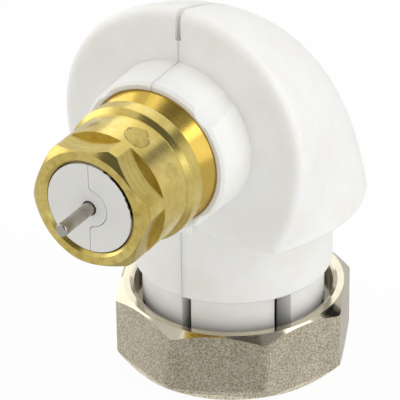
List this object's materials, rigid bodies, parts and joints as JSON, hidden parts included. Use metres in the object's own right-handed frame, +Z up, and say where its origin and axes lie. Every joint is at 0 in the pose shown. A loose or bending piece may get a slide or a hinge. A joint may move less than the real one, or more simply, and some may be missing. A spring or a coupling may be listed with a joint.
{
  "type": "angle adapter for a radiator valve head",
  "caption": "White right-angle adapter with a nickel union nut and a turned brass neck; a push on its pin is turned through 90 degrees onto the valve's pin.",
  "frame": {"origin": "centre of the plane that the valve neck's end face bears against, on the union nut's axis", "axes": "+Z up along the union nut's axis away from the valve, -Y along the sensor neck and its pin, +X to the right as the neck is faced from behind the housing; X = 0 is the parting plane of the mouldings"},
  "size_m": [0.0422, 0.0695, 0.0657],
  "materials": {
    "white_moulding": "satin white moulded plastic",
    "black_moulding": "dull black glass-filled moulding",
    "grey_moulding": "smooth light grey moulded plastic",
    "turned_brass": "bright turned brass with fine tool marks",
    "nickel_plate": "nickel-plated brass, grainy flats and polished chamfers",
    "pin_steel": "ground stainless steel",
    "spring_steel": "drawn spring wire and strip",
    "crank_steel": "tumbled sintered steel",
    "bronze": "sintered bearing bronze",
    "acetal": "natural acetal"
  },
  "bodies": {
    "housing": {"housing_left": "white_moulding", "housing_right": "white_moulding", "carrier_left": "grey_moulding", "carrier_right": "grey_moulding", "brass_neck": "turned_brass", "support_ring": "black_moulding", "pivot_pin": "pin_steel", "pin_guide_bush": "bronze", "tappet_spring": "spring_steel"},
    "nut": {"union_nut": "nickel_plate", "thrust_ring": "spring_steel"},
    "crank": {"bell_crank": "crank_steel", "pivot_bush": "bronze", "pin_roller_axle": "pin_steel", "tappet_roller_axle": "pin_steel"},
    "upper_roller": {"pin_roller": "acetal"},
    "lower_roller": {"tappet_roller": "acetal"},
    "plunger": {"drive_pin": "pin_steel", "pin_button": "acetal"},
    "pusher": {"tappet": "acetal", "tappet_pad": "pin_steel"}
  },
  "joints": [
    {"name": "nut_spin", "type": "hinge", "parent": "housing", "child": "nut", "pos_m": [0, 0, 0], "axis": [0, 0, 1], "continuous": true},
    {"name": "tappet_slide", "type": "slide", "parent": "housing", "child": "pusher", "axis": [0, 0, -1], "range_m": [0, 0.003], "stiffness_N_per_m": 600, "springref_m": -0.004, "deforming": ["tappet_spring"]},
    {"name": "pin_slide", "type": "slide", "parent": "housing", "child": "plunger", "axis": [0, 1, 0], "range_m": [0, 0.003]},
    {"name": "crank_turn", "type": "hinge", "parent": "housing", "child": "crank", "pos_m": [0, -0.008, 0.0315], "axis": [-1, 0, 0], "range_deg": [0, 21.62]},
    {"name": "pin_roller_spin", "type": "hinge", "parent": "crank", "child": "upper_roller", "pos_m": [0, -0.0095, 0.03936], "axis": [1, 0, 0], "continuous": true},
    {"name": "tappet_roller_spin", "type": "hinge", "parent": "crank", "child": "lower_roller", "pos_m": [0, -0.00014, 0.033], "axis": [1, 0, 0], "continuous": true}
  ],
  "couplings": [
    {"joint": "pin_slide", "follows": "tappet_slide", "ratio": 1},
    {"joint": "crank_turn", "follows": "tappet_slide", "rad_per_m": 125.74}
  ]
}
